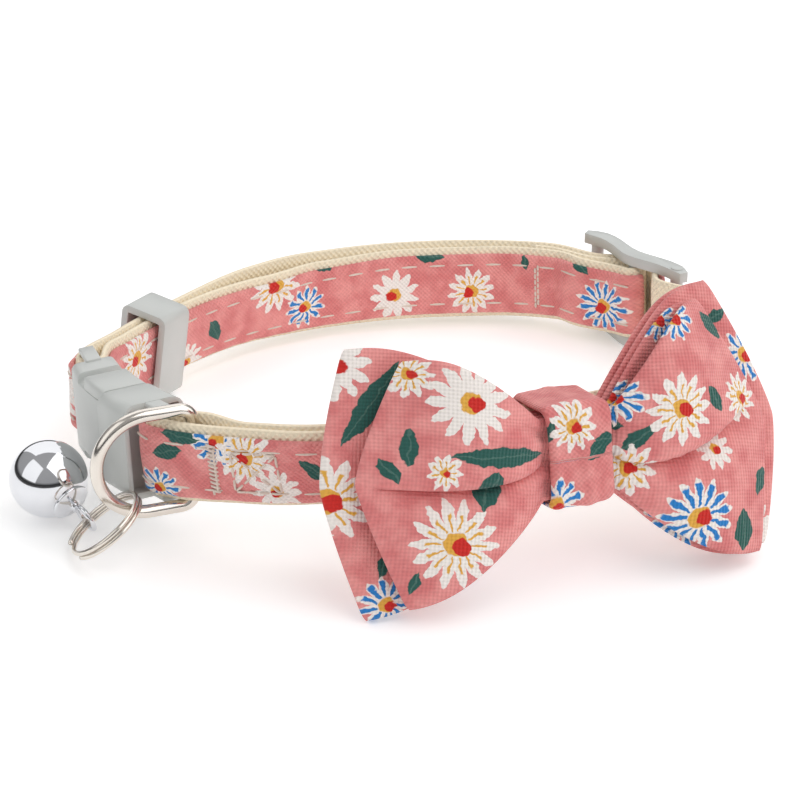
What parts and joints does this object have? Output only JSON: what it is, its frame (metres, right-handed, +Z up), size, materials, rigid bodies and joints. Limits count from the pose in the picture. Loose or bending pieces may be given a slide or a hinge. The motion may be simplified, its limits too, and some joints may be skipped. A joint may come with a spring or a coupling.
{
  "type": "pet bow tie collar",
  "caption": "Small adjustable pet collar of flat webbing faced with floral cotton, with a side release buckle, slider, keeper loop, D-ring, split ring, round bell and a double bow tie.",
  "frame": {"origin": "on the table under the middle of the whole collar's box", "axes": "+X to the right along the bow, +Y from the bow to the back of the strap, +Z up, along the strap's width"},
  "size_m": [0.0914, 0.0882, 0.0293],
  "materials": {
    "webbing": "woven, matt",
    "printed_cotton": "plain woven cotton with a printed flower pattern",
    "grey_plastic": "moulded, soft sheen",
    "nickel_wire": "polished, warm",
    "bell_metal": "mirror"
  },
  "bodies": {
    "collar": {"strap_webbing": "webbing", "strap_cover": "printed_cotton", "keeper_loop": "grey_plastic", "slider": "grey_plastic", "buckle_socket": "grey_plastic", "buckle_plug": "grey_plastic", "bow_back": "printed_cotton", "bow_front": "printed_cotton", "bow_knot": "printed_cotton"},
    "d_ring": {"d_ring": "nickel_wire", "split_ring": "nickel_wire", "bell": "bell_metal"}
  },
  "joints": [
    {"name": "d_ring_swing", "type": "hinge", "parent": "collar", "child": "d_ring", "pos_m": [-0.02289, -0.02375, 0.01133], "axis": [0, 0, 1], "range_deg": [0, 95]}
  ]
}
